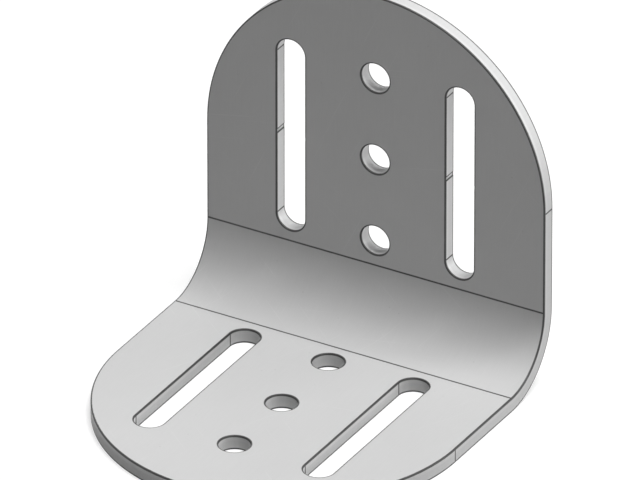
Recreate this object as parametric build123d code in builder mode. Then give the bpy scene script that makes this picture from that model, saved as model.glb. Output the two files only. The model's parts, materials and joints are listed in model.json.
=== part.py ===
# Motor mounting bracket: one steel plate, blanked with full-round ends, punched, then folded square.
#
# The foot lies flat and points to -Y, the back stands up at the +Y end, X runs across the plate.
# The origin is on the floor, midway along the foot and midway across it.

import os

from build123d import *

# Driving dimensions, in millimetres
width = 76.2  # across the plate
foot_length = 76.2  # rear face of the back to the foot's tip
back_height = 76.2  # underside of the foot to the back's tip
sheet = 3.175  # plate thickness
bend_radius = 12.7  # inside of the fold

hole_diameter = 6.35
hole_count = 3  # in one line down the middle of each leg
hole_pitch = 18.256
first_hole = 21.431  # from the outer face of the other leg

slot_width = 6.35
slot_spacing = 38.1  # between the two slots' centre lines

edge_break = 0.25  # deburring chamfer on every blanked and punched edge
hit_overlap = 0.85  # the back's slots take two punch strokes, which overlap this far
hit_relief = 0.1  # how far the doubled stroke shaves each slot wall

# Places that follow from them
end_radius = width / 2
slot_travel = (hole_count - 1) * hole_pitch  # a slot reaches from the first hole to the last
middle_hole = first_hole + slot_travel / 2
rear_y = foot_length / 2
fold_start = sheet + bend_radius  # from an outer face to where that leg turns flat
fold_y = rear_y - fold_start
fold_axis = Axis((0, fold_y, fold_start), (1, 0, 0))

# Each leg is drawn on its inner face: local x across, local y away from the fold, normal outwards
foot_plane = Plane(origin=(0, fold_y, sheet), x_dir=(1, 0, 0), z_dir=(0, 0, -1))
back_plane = Plane(origin=(0, rear_y - sheet, fold_start), x_dir=(-1, 0, 0), z_dir=(0, 1, 0))

with BuildPart() as bracket:
    # Foot and back: the same punched leg twice, each with its own reach
    for leg_plane, reach in ((foot_plane, foot_length), (back_plane, back_height)):
        tip = reach - fold_start
        shoulder = tip - end_radius
        with BuildSketch(leg_plane):
            with BuildLine():
                Polyline(
                    (-end_radius, shoulder), (-end_radius, 0), (end_radius, 0), (end_radius, shoulder)
                )
                ThreePointArc((end_radius, shoulder), (0, tip), (-end_radius, shoulder))
            make_face()
            with Locations((0, middle_hole - fold_start)):
                with GridLocations(hole_pitch, hole_pitch, 1, hole_count):
                    Circle(hole_diameter / 2, mode=Mode.SUBTRACT)
                with GridLocations(slot_spacing, slot_travel, 2, 1):
                    SlotCenterToCenter(slot_travel, slot_width, rotation=90, mode=Mode.SUBTRACT)
        extrude(amount=sheet)

    # Fold: the plate's own section, turned a quarter about the fold's axis
    with BuildSketch(Plane.XZ.offset(-fold_y)):
        with Locations((0, sheet / 2)):
            Rectangle(width, sheet)
    revolve(axis=fold_axis, revolution_arc=90)

    # Deburring: every rim of the outline, holes and slots; not the fold's tangent lines,
    # nor the short lines that cross the plate's thickness
    rims = bracket.edges().filter_by(Axis.X, reverse=True)
    rims = rims.filter_by(lambda edge: edge.length > 1.01 * sheet)
    chamfer(rims, edge_break)

    # The back's slots: where both strokes passed, the walls are shaved a little deeper
    with BuildSketch(back_plane):
        with Locations((0, middle_hole - fold_start)):
            with GridLocations(slot_spacing, slot_travel, 2, 1):
                Rectangle(slot_width + 2 * hit_relief, hit_overlap)
    extrude(amount=sheet, mode=Mode.SUBTRACT)

bracket.part.label = "bracket"

os.makedirs("parts", exist_ok=True)
export_step(bracket.part, "parts/bracket.step")
print("bracket: %.1f cm3, %d faces" % (bracket.part.volume / 1000, len(bracket.part.faces())))
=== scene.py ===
import json
import math

import bpy
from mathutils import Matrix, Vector


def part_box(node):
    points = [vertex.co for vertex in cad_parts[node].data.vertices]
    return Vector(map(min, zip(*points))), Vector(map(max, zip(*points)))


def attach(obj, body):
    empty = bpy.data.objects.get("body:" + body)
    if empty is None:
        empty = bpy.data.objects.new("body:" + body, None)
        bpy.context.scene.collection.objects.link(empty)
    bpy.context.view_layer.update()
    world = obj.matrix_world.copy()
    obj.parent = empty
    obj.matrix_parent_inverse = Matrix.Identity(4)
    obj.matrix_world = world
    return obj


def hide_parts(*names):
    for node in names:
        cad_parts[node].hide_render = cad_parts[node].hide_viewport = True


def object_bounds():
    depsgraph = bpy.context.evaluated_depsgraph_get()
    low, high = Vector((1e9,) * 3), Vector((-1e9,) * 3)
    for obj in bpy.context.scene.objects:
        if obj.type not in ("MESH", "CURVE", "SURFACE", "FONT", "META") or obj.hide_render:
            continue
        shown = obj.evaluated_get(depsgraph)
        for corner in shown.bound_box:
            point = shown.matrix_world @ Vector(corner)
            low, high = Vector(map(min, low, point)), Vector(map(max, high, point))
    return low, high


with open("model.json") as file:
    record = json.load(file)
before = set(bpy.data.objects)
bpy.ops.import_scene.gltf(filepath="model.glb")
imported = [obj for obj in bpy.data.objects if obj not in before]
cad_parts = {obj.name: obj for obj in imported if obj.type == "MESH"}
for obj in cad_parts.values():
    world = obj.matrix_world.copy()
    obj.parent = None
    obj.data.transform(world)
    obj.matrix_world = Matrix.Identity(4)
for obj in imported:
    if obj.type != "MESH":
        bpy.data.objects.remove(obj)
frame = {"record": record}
cadLow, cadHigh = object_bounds()
plateLow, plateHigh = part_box("bracket")
mounts = {m["name"]: m for m in frame["record"]["mounts"]}


def spot(name):  # where a mount is, in metres
    return Vector(mounts[name]["pos_m"])


print("frame loaded, with", len(mounts), "mounts")

# The plate, in metres. The frame gives every size that it holds.
plate = {
    "Width": plateHigh.x - plateLow.x,
    "Foot Length": plateHigh.y - plateLow.y,
    "Back Height": plateHigh.z - plateLow.z,
    "Rear": plateHigh.y,
    "Sheet": spot("foot_top_face").z - spot("base_face").z,
    "Bend Radius": 0.0127,
    "Bend Angle": math.radians(90),
    "Hole Diameter": 2 * mounts["back_hole_inner"]["dims"]["r_mm"] / 1000,
    "Hole Count": 3,
    "Hole Pitch": spot("back_hole_middle").z - spot("back_hole_inner").z,
    "First Hole": spot("back_hole_inner").z,
    "Slot Width": 2 * mounts["back_slot_left"]["dims"]["hole_r_mm"] / 1000,
    "Slot Spacing": spot("back_slot_right").x - spot("back_slot_left").x,
    "Overlap": 0.00085,  # the band where a back slot's second punch stroke laps its first
    "Relief": 0.0001,
    "Edge Break": 0.00018,
    "Edge Angle": math.radians(40),
    "Edge Steps": 3,
    "Fold Steps": 40,
    "Round Steps": 48,
}
weld = 2e-6  # closer points become one
lapThrough = 4  # a lap's cutter, in sheet thicknesses
squareness = {"skin": 0.985, "rim": 0.1}  # how squarely a face looks through the sheet, at least and at most


def put(tree, kind, feeds=None, **settings):  # one node, its settings and what feeds its inputs
    made = tree.nodes.new(kind)
    for name, value in settings.items():
        setattr(made, name, value)
    for key, source in (feeds or {}).items():
        for one in source if isinstance(source, list) else [source]:
            if isinstance(one, bpy.types.NodeSocket):
                tree.links.new(one, made.inputs[key])
            else:
                made.inputs[key].default_value = one
    return made


def calc(tree, operation, *terms):
    return put(tree, "ShaderNodeMath", dict(enumerate(terms)), operation=operation).outputs[0]


def length(tree, a, b):
    return calc(tree, "SQRT", calc(tree, "ADD", calc(tree, "MULTIPLY", a, a), calc(tree, "MULTIPLY", b, b)))


def point(tree, x=0.0, y=0.0, z=0.0):
    return put(tree, "ShaderNodeCombineXYZ", {"X": x, "Y": y, "Z": z}).outputs[0]


def parts(tree, source):  # x, y and z of a vector
    return put(tree, "ShaderNodeSeparateXYZ", {"Vector": source}).outputs


def newTree(name, kind, inputs, outputs):
    tree = bpy.data.node_groups.new(name, kind)
    for label, sort, value in inputs:
        made = tree.interface.new_socket(label, in_out="INPUT", socket_type="NodeSocket" + sort)
        if value is not None:
            made.default_value = value
    for label, sort in outputs:
        tree.interface.new_socket(label, in_out="OUTPUT", socket_type="NodeSocket" + sort)
    given = put(tree, "NodeGroupInput").outputs
    result = put(tree, "NodeGroupOutput").inputs
    return tree, given, result


def group(tree, inner, feeds):  # a finished tree, used as a node in another
    made = tree.nodes.new(tree.bl_idname.replace("NodeTree", "NodeGroup"))
    made.node_tree = inner
    for key, source in feeds.items():
        if isinstance(source, bpy.types.NodeSocket):
            tree.links.new(source, made.inputs[key])
        else:
            made.inputs[key].default_value = source
    return made.outputs


def realized(tree, geometry, finish):  # no instances left, and one finish all over
    whole = put(tree, "GeometryNodeRealizeInstances", {"Geometry": geometry}).outputs[0]
    return put(tree, "GeometryNodeSetMaterial", {"Geometry": whole, "Material": finish}).outputs[0]


def sized(names):  # tree inputs that take their values from the plate's dictionary
    sorts = {int: "Int", float: "Float"}
    return [(name, sorts[type(plate[name])], plate[name]) for name in names]


legSizes = ["Width", "Hole Diameter", "Hole Count", "Hole Pitch", "Slot Width", "Slot Spacing", "Round Steps"]


# One leg's flat blank: x across the plate, y away from the fold, a full-round tip, punched through
def punchedLeg():
    tree, given, result = newTree(
        "punchedLeg", "GeometryNodeTree",
        [("Flat Length", "Float", 0.06), ("Hole Start", "Float", 0.005), ("Skin", "Material", None)]
        + sized(legSizes),
        [("Blank", "Geometry")],
    )
    outline = put(tree, "GeometryNodeCurvePrimitiveQuadrilateral",
                  {"Width": given["Width"], "Height": given["Flat Length"]}).outputs[0]
    here = put(tree, "GeometryNodeInputPosition").outputs[0]
    atTip = calc(tree, "GREATER_THAN", parts(tree, here)["Y"], 0.0)
    roundness = calc(tree, "MULTIPLY", atTip, calc(tree, "MULTIPLY", given["Width"], 0.5))
    outline = put(tree, "GeometryNodeFilletCurve",
                  {"Curve": outline, "Radius": roundness, "Count": given["Round Steps"]}, mode="POLY").outputs[0]
    halfFlat = calc(tree, "MULTIPLY", given["Flat Length"], 0.5)
    outline = put(tree, "GeometryNodeTransform",
                  {"Geometry": outline, "Translation": point(tree, y=halfFlat)}).outputs[0]

    hole = put(tree, "GeometryNodeCurvePrimitiveCircle",
               {"Radius": calc(tree, "MULTIPLY", given["Hole Diameter"], 0.5),
                "Resolution": calc(tree, "MULTIPLY", given["Round Steps"], 2)}).outputs[0]
    line = put(tree, "GeometryNodeMeshLine",
               {"Count": given["Hole Count"], "Start Location": point(tree, y=given["Hole Start"]),
                "Offset": point(tree, y=given["Hole Pitch"])}).outputs[0]
    holes = put(tree, "GeometryNodeInstanceOnPoints", {"Points": line, "Instance": hole}).outputs[0]

    # a slot reaches from the first hole to the last
    travel = calc(tree, "MULTIPLY", calc(tree, "SUBTRACT", given["Hole Count"], 1), given["Hole Pitch"])
    slot = put(tree, "GeometryNodeCurvePrimitiveQuadrilateral",
               {"Width": given["Slot Width"], "Height": calc(tree, "ADD", travel, given["Slot Width"])}).outputs[0]
    slot = put(tree, "GeometryNodeFilletCurve",
               {"Curve": slot, "Radius": calc(tree, "MULTIPLY", given["Slot Width"], 0.5),
                "Count": calc(tree, "MULTIPLY", given["Round Steps"], 0.5)}, mode="POLY").outputs[0]
    halfway = calc(tree, "MULTIPLY_ADD", travel, 0.5, given["Hole Start"])
    leftSlot = calc(tree, "MULTIPLY", given["Slot Spacing"], -0.5)
    pair = put(tree, "GeometryNodeMeshLine",
               {"Count": 2, "Offset": point(tree, x=given["Slot Spacing"]),
                "Start Location": point(tree, leftSlot, halfway)}).outputs[0]
    slots = put(tree, "GeometryNodeInstanceOnPoints", {"Points": pair, "Instance": slot}).outputs[0]

    lines = put(tree, "GeometryNodeJoinGeometry", {"Geometry": [outline, holes, slots]}).outputs[0]
    lines = put(tree, "GeometryNodeRealizeInstances", {"Geometry": lines}).outputs[0]
    blank = put(tree, "GeometryNodeFillCurve", {"Curve": lines}, mode="NGONS").outputs[0]
    tree.links.new(realized(tree, blank, given["Skin"]), result["Blank"])
    return tree


foldSizes = ["Foot Length", "Back Height", "Rear", "Sheet", "Bend Radius", "Bend Angle", "First Hole", "Fold Steps"]


# The whole blank lies flat with its middle on y = 0, gets its thickness and is folded about the bend's axis
def foldedPlate(leg):
    tree, given, result = newTree(
        "foldedPlate", "GeometryNodeTree",
        [("Geometry", "Geometry", None), ("Skin", "Material", None)] + sized(legSizes + foldSizes),
        [("Geometry", "Geometry")],
    )
    foldStart = calc(tree, "ADD", given["Sheet"], given["Bend Radius"])
    midRadius = calc(tree, "MULTIPLY_ADD", given["Sheet"], 0.5, given["Bend Radius"])
    foldLength = calc(tree, "MULTIPLY", midRadius, given["Bend Angle"])
    halfFold = calc(tree, "MULTIPLY", foldLength, 0.5)

    legFeeds = {name: given[name] for name in [*legSizes, "Skin"]}
    legFeeds["Hole Start"] = calc(tree, "SUBTRACT", given["First Hole"], foldStart)
    flats = []
    for reach, turn, way in (("Foot Length", math.pi, -1), ("Back Height", 0.0, 1)):
        flat = calc(tree, "SUBTRACT", given[reach], foldStart)
        made = group(tree, leg, {**legFeeds, "Flat Length": flat})[0]
        flats.append(put(tree, "GeometryNodeTransform",
                         {"Geometry": made, "Rotation": (0, 0, turn),
                          "Translation": point(tree, y=calc(tree, "MULTIPLY", halfFold, way))}).outputs[0])
    strip = put(tree, "GeometryNodeMeshGrid",
                {"Size X": given["Width"], "Size Y": foldLength, "Vertices X": 2,
                 "Vertices Y": calc(tree, "ADD", given["Fold Steps"], 1)}).outputs[0]
    strip = put(tree, "GeometryNodeSetMaterial", {"Geometry": strip, "Material": given["Skin"]}).outputs[0]
    blank = put(tree, "GeometryNodeJoinGeometry", {"Geometry": [strip, *flats]}).outputs[0]
    blank = put(tree, "GeometryNodeMergeByDistance", {"Geometry": blank, "Distance": weld}).outputs[0]

    raised = put(tree, "GeometryNodeExtrudeMesh",
                 {"Mesh": blank, "Offset Scale": given["Sheet"], "Individual": False}).outputs["Mesh"]
    under = put(tree, "GeometryNodeFlipFaces", {"Mesh": blank}).outputs[0]
    slab = put(tree, "GeometryNodeJoinGeometry", {"Geometry": [raised, under]}).outputs[0]
    slab = put(tree, "GeometryNodeMergeByDistance", {"Geometry": slab, "Distance": weld}).outputs[0]

    # the slab's top becomes the inside of the fold
    x, y, z = parts(tree, put(tree, "GeometryNodeInputPosition").outputs[0])
    across = put(tree, "ShaderNodeClamp",
                 {"Value": y, "Min": calc(tree, "MULTIPLY", halfFold, -1), "Max": halfFold}).outputs[0]
    run = calc(tree, "SUBTRACT", y, across)
    share = calc(tree, "DIVIDE", calc(tree, "ADD", across, halfFold), foldLength)
    angle = calc(tree, "MULTIPLY", share, given["Bend Angle"])
    sine, cosine = calc(tree, "SINE", angle), calc(tree, "COSINE", angle)
    radius = calc(tree, "SUBTRACT", foldStart, z)
    axisY = calc(tree, "SUBTRACT", given["Rear"], foldStart)
    foldedY = calc(tree, "ADD", axisY, calc(tree, "ADD", calc(tree, "MULTIPLY", radius, sine),
                                            calc(tree, "MULTIPLY", run, cosine)))
    foldedZ = calc(tree, "ADD", foldStart, calc(tree, "SUBTRACT", calc(tree, "MULTIPLY", run, sine),
                                                calc(tree, "MULTIPLY", radius, cosine)))
    folded = put(tree, "GeometryNodeSetPosition",
                 {"Geometry": slab, "Position": point(tree, x, foldedY, foldedZ)}).outputs[0]
    folded = put(tree, "GeometryNodeSetShadeSmooth", {"Geometry": folded}).outputs[0]
    tree.links.new(realized(tree, folded, given["Skin"]), result["Geometry"])
    return tree


lapSizes = ["Rear", "Sheet", "Bend Radius", "Bend Angle", "Hole Count", "Hole Pitch", "First Hole",
            "Slot Width", "Slot Spacing", "Overlap", "Relief"]


# Shaves the back's slots where the strokes lap, unrolls each point to its place on the flat sheet,
# and gives skin and sheared rim their finishes, and the broken corner its near-black painted shade
def finishedPlate():
    tree, given, result = newTree(
        "finishedPlate", "GeometryNodeTree",
        [("Geometry", "Geometry", None), ("Skin", "Material", None), ("Rim", "Material", None),
         ("Corner", "Material", None)] + sized(lapSizes),
        [("Geometry", "Geometry")],
    )
    travel = calc(tree, "MULTIPLY", calc(tree, "SUBTRACT", given["Hole Count"], 1), given["Hole Pitch"])
    halfway = calc(tree, "MULTIPLY_ADD", travel, 0.5, given["First Hole"])
    lapWidth = calc(tree, "MULTIPLY_ADD", given["Relief"], 2, given["Slot Width"])
    lapDepth = calc(tree, "MULTIPLY", given["Sheet"], lapThrough)
    lap = put(tree, "GeometryNodeMeshCube",
              {"Size": point(tree, lapWidth, lapDepth, given["Overlap"])}).outputs[0]
    leftSlot = calc(tree, "MULTIPLY", given["Slot Spacing"], -0.5)
    pair = put(tree, "GeometryNodeMeshLine",
               {"Count": 2, "Offset": point(tree, x=given["Slot Spacing"]),
                "Start Location": point(tree, leftSlot, given["Rear"], halfway)}).outputs[0]
    laps = put(tree, "GeometryNodeInstanceOnPoints", {"Points": pair, "Instance": lap}).outputs[0]
    laps = realized(tree, laps, given["Rim"])
    shaved = put(tree, "GeometryNodeMeshBoolean", {"Mesh 1": given["Geometry"], "Mesh 2": laps},
                 operation="DIFFERENCE", solver="EXACT").outputs[0]

    foldStart = calc(tree, "ADD", given["Sheet"], given["Bend Radius"])
    x, y, z = parts(tree, put(tree, "GeometryNodeInputPosition").outputs[0])
    fromAxisY = calc(tree, "SUBTRACT", calc(tree, "ADD", y, foldStart), given["Rear"])
    fromAxisZ = calc(tree, "SUBTRACT", z, foldStart)
    inY, inZ = calc(tree, "MAXIMUM", fromAxisY, 0.0), calc(tree, "MINIMUM", fromAxisZ, 0.0)
    radius = length(tree, inY, inZ)
    angle = calc(tree, "ARCTAN2", inY, calc(tree, "MULTIPLY", inZ, -1))
    run = calc(tree, "ADD", calc(tree, "MINIMUM", fromAxisY, 0.0), calc(tree, "MAXIMUM", fromAxisZ, 0.0))
    midRadius = calc(tree, "MULTIPLY_ADD", given["Sheet"], 0.5, given["Bend Radius"])
    fromMiddle = calc(tree, "SUBTRACT", angle, calc(tree, "MULTIPLY", given["Bend Angle"], 0.5))
    along = calc(tree, "MULTIPLY_ADD", fromMiddle, midRadius, run)
    depth = calc(tree, "SUBTRACT", radius, given["Bend Radius"])
    marked = put(tree, "GeometryNodeStoreNamedAttribute",
                 {"Geometry": shaved, "Name": "sheet", "Value": point(tree, x, along, depth)},
                 data_type="FLOAT_VECTOR", domain="POINT").outputs[0]

    # how squarely a face looks through the sheet: 1 on the skins, 0 on the rim
    through = point(tree, 0.0, calc(tree, "DIVIDE", inY, radius), calc(tree, "DIVIDE", inZ, radius))
    normal = put(tree, "GeometryNodeInputNormal").outputs["True Normal"]
    square = put(tree, "ShaderNodeVectorMath", {0: normal, 1: through},
                 operation="DOT_PRODUCT").outputs["Value"]
    square = calc(tree, "ABSOLUTE", square)
    onSkin = put(tree, "FunctionNodeCompare", {"A": square, "B": squareness["skin"]},
                 operation="GREATER_THAN").outputs[0]
    onRim = put(tree, "FunctionNodeCompare", {"A": square, "B": squareness["rim"]},
                operation="LESS_THAN").outputs[0]
    # every face starts with the corner's near-black painted shade; skin and rim faces then take their own finishes
    whole = realized(tree, marked, given["Corner"])
    for where, finish in ((onSkin, "Skin"), (onRim, "Rim")):
        whole = put(tree, "GeometryNodeSetMaterial",
                    {"Geometry": whole, "Selection": where, "Material": given[finish]}).outputs[0]
    tree.links.new(whole, result["Geometry"])
    return tree


def addTree(piece, tree, values):  # a modifier's inputs are set by their identifiers
    modifier = piece.modifiers.new(tree.name, "NODES")
    modifier.node_group = tree
    for item in tree.interface.items_tree:
        if item.in_out == "INPUT" and item.name in values:
            modifier[item.identifier] = values[item.name]


# Where things sit along the unrolled sheet, measured from the middle of the fold
foldStart = plate["Sheet"] + plate["Bend Radius"]
halfFold = (plate["Bend Radius"] + plate["Sheet"] / 2) * plate["Bend Angle"] / 2
slotNear = halfFold + plate["First Hole"] - foldStart
slotFar = slotNear + (plate["Hole Count"] - 1) * plate["Hole Pitch"]
arcStart = halfFold + plate["Back Height"] - foldStart - plate["Width"] / 2


# Shared effects. Every one reads a point's place on the unrolled sheet: across, along and into it
def grainTree():
    tree, given, result = newTree(
        "sheetGrain", "ShaderNodeTree",
        [("Place", "Vector", None), ("Lines", "Vector", (4000, 150, 4000)), ("Contrast", "Float", 0.05)],
        [("Tone", "Float"), ("Height", "Float")],
    )
    lines = put(tree, "ShaderNodeVectorMath", {0: given["Place"], 1: given["Lines"]},
                operation="MULTIPLY").outputs[0]
    noise = put(tree, "ShaderNodeTexNoise",
                {"Vector": lines, "Scale": 1.0, "Detail": 3.0, "Roughness": 0.6}).outputs[0]
    swing = calc(tree, "MULTIPLY", calc(tree, "SUBTRACT", noise, 0.5), given["Contrast"])
    tree.links.new(calc(tree, "ADD", swing, 1.0), result["Tone"])
    tree.links.new(noise, result["Height"])
    return tree


lineEdge = {"slowWave": 260.0, "fastWave": 1900.0, "detail": 2.0, "feather": 0.35}


def toolMarkAndShadeLineTree():  # a dark line, a tool's mark at the fold and painted shade along the broken edges and the slots' lap, where Offset is the distance to it
    tree, given, result = newTree(
        "toolMarkAndShadeLine", "ShaderNodeTree",
        [("Place", "Vector", None), ("Offset", "Float", 1.0), ("Half Width", "Float", 0.0001),
         ("Waver", "Float", 0.00003), ("Patchy", "Float", 0.3)],
        [("Mask", "Float")],
    )
    slow, fast = (put(tree, "ShaderNodeTexNoise",
                      {"Vector": given["Place"], "Scale": lineEdge[wave], "Detail": lineEdge["detail"]}).outputs[0]
                  for wave in ("slowWave", "fastWave"))
    shift = calc(tree, "MULTIPLY", calc(tree, "SUBTRACT", slow, 0.5), given["Waver"])
    distance = calc(tree, "ABSOLUTE", calc(tree, "ADD", given["Offset"], shift))
    outer = calc(tree, "MULTIPLY", given["Half Width"], 1 + lineEdge["feather"])
    inner = calc(tree, "MULTIPLY", given["Half Width"], 1 - lineEdge["feather"])
    mask = put(tree, "ShaderNodeMapRange", {"Value": distance, "From Min": outer, "From Max": inner},
               interpolation_type="SMOOTHSTEP").outputs[0]
    thin = calc(tree, "MULTIPLY", fast, given["Patchy"])
    tree.links.new(calc(tree, "MULTIPLY", mask, calc(tree, "SUBTRACT", 1.0, thin)), result["Mask"])
    return tree


def cutEdgeTree():  # how far a place on the sheet is from the sheared rim, a slot and a hole
    tree, given, result = newTree(
        "cutEdge", "ShaderNodeTree", [("Place", "Vector", None)],
        [("From Rim", "Float"), ("From Slot", "Float"), ("From Hole", "Float"), ("From Edge", "Float")],
    )
    x, along, _ = parts(tree, given["Place"])
    across, reach = calc(tree, "ABSOLUTE", x), calc(tree, "ABSOLUTE", along)
    fromTip = length(tree, across, calc(tree, "MAXIMUM", calc(tree, "SUBTRACT", reach, arcStart), 0.0))
    rim = calc(tree, "SUBTRACT", plate["Width"] / 2, fromTip)
    onSlot = put(tree, "ShaderNodeClamp", {"Value": reach, "Min": slotNear, "Max": slotFar}).outputs[0]
    fromSlot = length(tree, calc(tree, "SUBTRACT", across, plate["Slot Spacing"] / 2),
                      calc(tree, "SUBTRACT", reach, onSlot))
    slot = calc(tree, "SUBTRACT", fromSlot, plate["Slot Width"] / 2)
    onHole = calc(tree, "ADD", onSlot, plate["Hole Pitch"] / 2 - slotNear)
    onHole = calc(tree, "ADD", calc(tree, "SNAP", onHole, plate["Hole Pitch"]), slotNear)
    fromHole = length(tree, across, calc(tree, "SUBTRACT", reach, onHole))
    hole = calc(tree, "SUBTRACT", fromHole, plate["Hole Diameter"] / 2)
    tree.links.new(rim, result["From Rim"])
    tree.links.new(slot, result["From Slot"])
    tree.links.new(hole, result["From Hole"])
    tree.links.new(calc(tree, "MINIMUM", rim, calc(tree, "MINIMUM", slot, hole)), result["From Edge"])
    return tree


handling = {
    "cloudScale": 55.0, "cloudDetail": 4.0, "cloudRoughness": 0.55,
    "scratchSets": ((0.45, 2600, 38, 0.3), (-0.9, 3100, 45, 0.7), (1.35, 2800, 30, 0.1)),  # turn, fine, long, shift
    "scratchFrom": 0.72, "scratchFull": 0.78,
    "pitScale": 420.0, "pitFrom": 0.10, "pitFull": 0.04, "pitRarity": 0.85,
}


def handlingTree():  # blotches, stray scratches and pits from the press and the bin
    tree, given, result = newTree(
        "handlingMarks", "ShaderNodeTree",
        [("Place", "Vector", None), ("Blotch", "Float", 0.04), ("Scratch", "Float", 0.5), ("Pit", "Float", 0.5)],
        [("Tone", "Float"), ("Scratches", "Float"), ("Pits", "Float")],
    )
    cloud = put(tree, "ShaderNodeTexNoise",
                {"Vector": given["Place"], "Scale": handling["cloudScale"], "Detail": handling["cloudDetail"],
                 "Roughness": handling["cloudRoughness"]}).outputs[0]
    tone = calc(tree, "MULTIPLY_ADD", calc(tree, "SUBTRACT", cloud, 0.5), given["Blotch"], 1.0)
    tree.links.new(tone, result["Tone"])
    total = None
    for turn, fine, long, shift in handling["scratchSets"]:
        turned = put(tree, "ShaderNodeVectorRotate", {"Vector": given["Place"], "Angle": turn},
                     rotation_type="Z_AXIS").outputs[0]
        edgeShade = put(tree, "ShaderNodeVectorMath",
                    {0: turned, 1: (fine, long, long), 2: (shift, shift, shift)},
                    operation="MULTIPLY_ADD").outputs[0]
        noise = put(tree, "ShaderNodeTexNoise", {"Vector": edgeShade, "Scale": 1.0, "Detail": 1.0}).outputs[0]
        thin = put(tree, "ShaderNodeMapRange", {"Value": noise, "From Min": handling["scratchFrom"],
                                                "From Max": handling["scratchFull"]}).outputs[0]
        total = thin if total is None else calc(tree, "MAXIMUM", total, thin)
    tree.links.new(calc(tree, "MULTIPLY", total, given["Scratch"]), result["Scratches"])
    cells = put(tree, "ShaderNodeTexVoronoi", {"Vector": given["Place"], "Scale": handling["pitScale"]}).outputs
    small = put(tree, "ShaderNodeMapRange", {"Value": cells["Distance"], "From Min": handling["pitFrom"],
                                             "From Max": handling["pitFull"]}).outputs[0]
    chance = put(tree, "ShaderNodeSeparateColor", {"Color": cells["Color"]}).outputs[0]
    rare = calc(tree, "GREATER_THAN", chance, handling["pitRarity"])
    tree.links.new(calc(tree, "MULTIPLY", calc(tree, "MULTIPLY", small, rare), given["Pit"]), result["Pits"])
    return tree


skinFinish = {
    "colour": 0.57, "roughness": 0.55, "metallic": 0.05,
    "grain": (3800.0, 140.0, 3800.0), "grainContrast": 0.07, "grainDepth": 0.000004,
    "blotch": 0.05, "scratch": 0.06, "scratchLight": 0.5, "pit": 0.10, "pitDepth": 4.0,
    "foldLine": 0.00020, "foldWaver": 0.00006, "foldPatchy": 0.12, "foldDark": 0.98, "foldPolish": 0.12,
    # edge: painted shade, a dark line inside each broken edge
    "edgeLine": 0.00013, "edgeWaver": 0.00003, "edgePatchy": 0.15, "edgeDark": 0.90,
}
rimFinish = {
    "colour": 0.60, "punchedColour": 0.68, "roughness": 0.50, "punchedRoughness": 0.45, "metallic": 0.08,
    "streaks": (2600.0, 2600.0, 120.0), "streakContrast": 0.12, "streakDepth": 0.000010,
    "burnishEnd": 0.0011, "burnishTone": 1.03, "breakTone": 0.97,
    "breakRagged": 0.0006, "breakSoft": 0.0001, "breakRoughness": 0.08,
    # joint: a tool mark at the punch joints, with painted shade at the lap's step
    "jointLine": 0.00018, "jointWaver": 0.00003, "jointPatchy": 0.10, "jointDark": 0.98,
    # edge: painted shade, a dark line inside each broken edge
    "edgeLine": 0.00021, "edgeWaver": 0.00003, "edgePatchy": 0.10, "edgeDark": 0.94,
}
# the broken corners are painted near-black: painted shade that outlines every edge
cornerPaintedShade = {
    "colour": 0.04, "roughness": 0.50, "metallic": 0.2, "grain": (900.0, 900.0, 900.0), "grainContrast": 0.5,
}

sheetGrain, toolMarkAndShadeLine, cutEdge, handlingMarks = grainTree(), toolMarkAndShadeLineTree(), cutEdgeTree(), handlingTree()


def newMaterial(name, finish):
    material = bpy.data.materials.new(name)
    material.use_nodes = True
    tree = material.node_tree
    shader = tree.nodes["Principled BSDF"]
    shader.inputs["Metallic"].default_value = finish["metallic"]
    shader.inputs["Roughness"].default_value = finish["roughness"]
    place = put(tree, "ShaderNodeAttribute", attribute_name="sheet").outputs["Vector"]
    return material, tree, shader, place


def markedLine(tree, place, offset, finish, line):  # a dark line, tool mark and painted shade, with the values a finish holds for it
    return group(tree, toolMarkAndShadeLine, {"Place": place, "Offset": offset, "Half Width": finish[line + "Line"],
                                  "Waver": finish[line + "Waver"], "Patchy": finish[line + "Patchy"]})["Mask"]


def darkened(tree, tone, masks):  # the darkest of some masks, taken off a tone
    dark = None
    for mask, amount in masks:
        one = calc(tree, "MULTIPLY", mask, amount)
        dark = one if dark is None else calc(tree, "MAXIMUM", dark, one)
    return calc(tree, "MULTIPLY", tone, calc(tree, "SUBTRACT", 1.0, dark))


def grained(tree, place, finish, lines, contrast):
    return group(tree, sheetGrain, {"Place": place, "Lines": finish[lines], "Contrast": finish[contrast]})


def bumped(tree, shader, height, depth):  # depth is what a height of 1 stands for
    bump = put(tree, "ShaderNodeBump", {"Height": height, "Strength": 1.0, "Distance": depth})
    tree.links.new(bump.outputs[0], shader.inputs["Normal"])


def grey(tree, value):
    return put(tree, "ShaderNodeCombineColor", {0: value, 1: value, 2: value}).outputs[0]


def mixed(tree, share, low, high):  # low where share is 0, high where it is 1
    return put(tree, "ShaderNodeMapRange", {"Value": share, "To Min": low, "To Max": high}).outputs[0]


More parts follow.
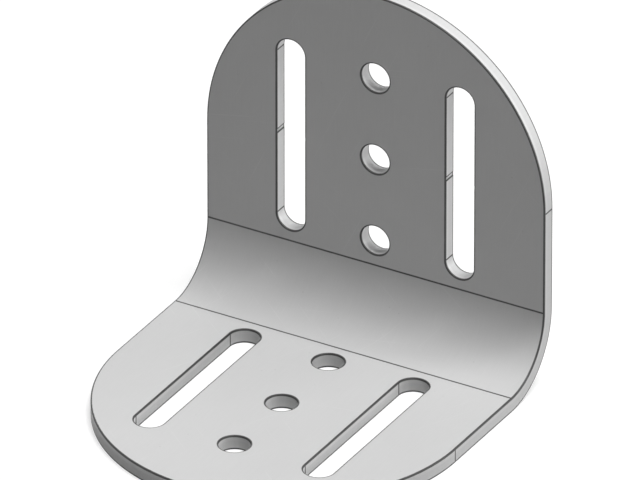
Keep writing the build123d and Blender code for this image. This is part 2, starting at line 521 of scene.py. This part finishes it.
def skinMaterial(finish=skinFinish):
    material, tree, shader, place = newMaterial("mattZincSkin", finish)
    grain = grained(tree, place, finish, "grain", "grainContrast")
    marks = group(tree, handlingMarks, {"Place": place, "Blotch": finish["blotch"], "Scratch": finish["scratch"],
                                        "Pit": finish["pit"]})
    even = calc(tree, "MULTIPLY", grain["Tone"], marks["Tone"])

    # the brake's line at each end of the fold, and painted shade: a dark line inside each broken edge
    fromFold = calc(tree, "SUBTRACT", calc(tree, "ABSOLUTE", parts(tree, place)["Y"]), halfFold)
    brake = markedLine(tree, place, fromFold, finish, "fold")
    fromEdge = group(tree, cutEdge, {"Place": place})["From Edge"]
    edgeShade = markedLine(tree, place, calc(tree, "SUBTRACT", fromEdge, plate["Edge Break"]), finish, "edge")
    tone = calc(tree, "MULTIPLY", even, finish["colour"])
    tone = darkened(tree, tone, [(brake, finish["foldDark"]), (edgeShade, finish["edgeDark"])])
    tone = calc(tree, "MULTIPLY", tone, calc(tree, "SUBTRACT", 1.0, marks["Pits"]))
    tone = calc(tree, "MULTIPLY_ADD", marks["Scratches"], finish["scratchLight"], tone)
    tree.links.new(grey(tree, tone), shader.inputs["Base Color"])

    rough = calc(tree, "MULTIPLY", even, finish["roughness"])
    rough = calc(tree, "SUBTRACT", rough, calc(tree, "MULTIPLY", brake, finish["foldPolish"]))
    tree.links.new(rough, shader.inputs["Roughness"])
    height = calc(tree, "SUBTRACT", grain["Height"], calc(tree, "MULTIPLY", marks["Pits"], finish["pitDepth"]))
    bumped(tree, shader, height, finish["grainDepth"])
    return material


def rimMaterial(finish=rimFinish):
    material, tree, shader, place = newMaterial("shearedRim", finish)
    along, depth = parts(tree, place)["Y"], parts(tree, place)["Z"]
    reach = calc(tree, "ABSOLUTE", along)
    near = group(tree, cutEdge, {"Place": place})
    punched = calc(tree, "GREATER_THAN", near["From Rim"], plate["Sheet"])
    slotted = calc(tree, "LESS_THAN", near["From Slot"], plate["Sheet"])

    # distances to the joints between one stroke of the punch and the next; their dark line is a tool mark, and
    # painted shade at the lap's step
    ends = calc(tree, "MINIMUM", calc(tree, "ABSOLUTE", calc(tree, "SUBTRACT", reach, slotNear)),
                calc(tree, "ABSOLUTE", calc(tree, "SUBTRACT", reach, slotFar)))
    lap = calc(tree, "ABSOLUTE", calc(tree, "SUBTRACT", along, (slotNear + slotFar) / 2))
    lap = calc(tree, "ABSOLUTE", calc(tree, "SUBTRACT", lap, plate["Overlap"] / 2))
    shoulder = calc(tree, "ADD", calc(tree, "ABSOLUTE", calc(tree, "SUBTRACT", reach, arcStart)), punched)
    offset = put(tree, "ShaderNodeMix",
                 {"Factor": slotted, "A": shoulder, "B": calc(tree, "MINIMUM", ends, lap)}).outputs[0]
    joint = markedLine(tree, place, offset, finish, "joint")
    # painted shade: a dark line inside each broken edge of the rim
    toSkin = calc(tree, "MINIMUM", depth, calc(tree, "SUBTRACT", plate["Sheet"], depth))
    edgeShade = markedLine(tree, place, calc(tree, "SUBTRACT", toSkin, plate["Edge Break"]), finish, "edge")

    # the punch burnishes the side it enters from, and the rest breaks away duller
    streaks = grained(tree, place, finish, "streaks", "streakContrast")
    torn = calc(tree, "MULTIPLY_ADD", calc(tree, "SUBTRACT", streaks["Height"], 0.5), finish["breakRagged"], depth)
    torn = put(tree, "ShaderNodeMapRange",
               {"Value": torn, "From Min": finish["burnishEnd"] - finish["breakSoft"],
                "From Max": finish["burnishEnd"] + finish["breakSoft"]}).outputs[0]
    tone = calc(tree, "MULTIPLY", mixed(tree, punched, finish["colour"], finish["punchedColour"]), streaks["Tone"])
    tone = calc(tree, "MULTIPLY", tone, mixed(tree, torn, finish["burnishTone"], finish["breakTone"]))
    tone = darkened(tree, tone, [(joint, finish["jointDark"]), (edgeShade, finish["edgeDark"])])
    tree.links.new(grey(tree, tone), shader.inputs["Base Color"])
    rough = mixed(tree, punched, finish["roughness"], finish["punchedRoughness"])
    rough = calc(tree, "MULTIPLY_ADD", torn, finish["breakRoughness"], rough)
    tree.links.new(rough, shader.inputs["Roughness"])
    bumped(tree, shader, streaks["Height"], finish["streakDepth"])
    return material


# the broken corners' material: near-black painted shade with some grain
def cornerMaterial(finish=cornerPaintedShade):
    material, tree, shader, place = newMaterial("brokenCorner", finish)
    grain = grained(tree, place, finish, "grain", "grainContrast")
    tree.links.new(grey(tree, calc(tree, "MULTIPLY", grain["Tone"], finish["colour"])), shader.inputs["Base Color"])
    return material


def buildPlate():
    piece = bpy.data.objects.new("foldedBracket", bpy.data.meshes.new("foldedBracket"))
    bpy.context.scene.collection.objects.link(piece)
    values = {**plate, "Skin": skinMaterial(), "Rim": rimMaterial(), "Corner": cornerMaterial()}
    addTree(piece, foldedPlate(punchedLeg()), values)
    bevel = piece.modifiers.new("brokenEdges", "BEVEL")
    bevel.width = plate["Edge Break"]
    bevel.segments = plate["Edge Steps"]
    bevel.limit_method = "ANGLE"
    bevel.angle_limit = plate["Edge Angle"]
    bevel.loop_slide = False
    bevel.use_clamp_overlap = False
    addTree(piece, finishedPlate(), values)
    evened = piece.modifiers.new("evenNormals", "WEIGHTED_NORMAL")
    evened.keep_sharp = False
    evened.weight = 100  # the large faces stay flat, and the broken edges turn between them
    graph = bpy.context.evaluated_depsgraph_get()
    mesh = bpy.data.meshes.new_from_object(piece.evaluated_get(graph), preserve_all_data_layers=True,
                                           depsgraph=graph)
    piece.modifiers.clear()
    piece.data = mesh
    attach(piece, "root")
    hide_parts("bracket")
    for empty in reversed([place for place, finish in enumerate(mesh.materials) if finish is None]):
        mesh.materials.pop(index=empty)  # the primitives inside the trees bring an empty slot
    print("plate folded:", len(mesh.polygons), "faces in", [finish.name for finish in mesh.materials])


buildPlate()

lamps = {
    "key": {"towards": (0.24, 0.02, 0.97), "distance": 1.5, "size": 0.6, "watts": 25.2},
    "side": {"towards": (0.80, 0.52, 0.235), "distance": 1.5, "size": 0.6, "watts": 8.3},
    "behind": {"towards": (-0.62, 0.62, 0.48), "distance": 1.5, "size": 0.9, "watts": 0.6},
}
room = {"ambient": 0.01, "floorColour": 0.35, "floorLift": 0.70, "floorReach": 12.0}
view = {"azimuth": 30, "elevation": 30, "lens": 1200, "distance": 4.1451, "right": 0.00669, "up": 0.00078,
        "farthest": 50}


def addLamp(name, lamp):
    data = bpy.data.lights.new(name, "AREA")
    data.size = lamp["size"]
    data.energy = lamp["watts"]
    made = bpy.data.objects.new(name, data)
    towards = Vector(lamp["towards"]).normalized()
    made.location = (cadLow + cadHigh) / 2 + towards * lamp["distance"]
    made.rotation_mode = "QUATERNION"
    made.rotation_quaternion = (-towards).to_track_quat("-Z", "Y")
    bpy.context.scene.collection.objects.link(made)


def seenDirectly(tree):  # 1 for rays from the camera, or off or through a surface
    path = put(tree, "ShaderNodeLightPath").outputs
    either = calc(tree, "MAXIMUM", path["Is Camera Ray"], path["Is Glossy Ray"])
    return calc(tree, "MAXIMUM", either, path["Is Transmission Ray"])


def buildWorld():
    world = bpy.data.worlds.new("paleRoom")
    world.use_nodes = True
    tree = world.node_tree
    backdrop = tree.nodes["Background"]
    backdrop.inputs["Color"].default_value = (1, 1, 1, 1)
    tree.links.new(mixed(tree, seenDirectly(tree), room["ambient"], 1.0), backdrop.inputs["Strength"])
    bpy.context.scene.world = world


def buildFloor():
    reach = room["floorReach"]
    data = bpy.data.meshes.new("floor")
    corners = [(-reach, -reach, 0), (reach, -reach, 0), (reach, reach, 0), (-reach, reach, 0)]
    data.from_pydata(corners, [], [(0, 1, 2, 3)])
    floor = bpy.data.objects.new("floor", data)
    bpy.context.scene.collection.objects.link(floor)
    material = bpy.data.materials.new("palePaper")
    material.use_nodes = True
    tree = material.node_tree
    tree.nodes.remove(tree.nodes["Principled BSDF"])
    paper = put(tree, "ShaderNodeBsdfDiffuse", {"Color": (*[room["floorColour"]] * 3, 1)}).outputs[0]
    strength = calc(tree, "MULTIPLY", seenDirectly(tree), room["floorLift"])
    lift = put(tree, "ShaderNodeEmission", {"Strength": strength}).outputs[0]
    both = put(tree, "ShaderNodeAddShader", {0: paper, 1: lift}).outputs[0]
    tree.links.new(both, tree.nodes["Material Output"].inputs["Surface"])
    data.materials.append(material)


def buildCamera():
    data = bpy.data.cameras.new("longLens")
    data.lens = view["lens"]
    data.clip_end = view["farthest"]
    camera = bpy.data.objects.new("longLens", data)
    a, e = math.radians(view["azimuth"]), math.radians(view["elevation"])
    back = Vector((math.sin(a) * math.cos(e), -math.cos(a) * math.cos(e), math.sin(e)))
    right = Vector((math.cos(a), math.sin(a), 0))
    up = back.cross(right)
    middle = (cadLow + cadHigh) / 2
    camera.location = middle + right * view["right"] + up * view["up"] + back * view["distance"]
    camera.rotation_mode = "QUATERNION"
    camera.rotation_quaternion = (-back).to_track_quat("-Z", "Y")
    bpy.context.scene.collection.objects.link(camera)
    bpy.context.scene.camera = camera


for lampName, lamp in lamps.items():
    addLamp(lampName, lamp)
buildWorld()
buildFloor()
buildCamera()
bpy.context.scene.view_settings.view_transform = "Standard"
print("studio set")
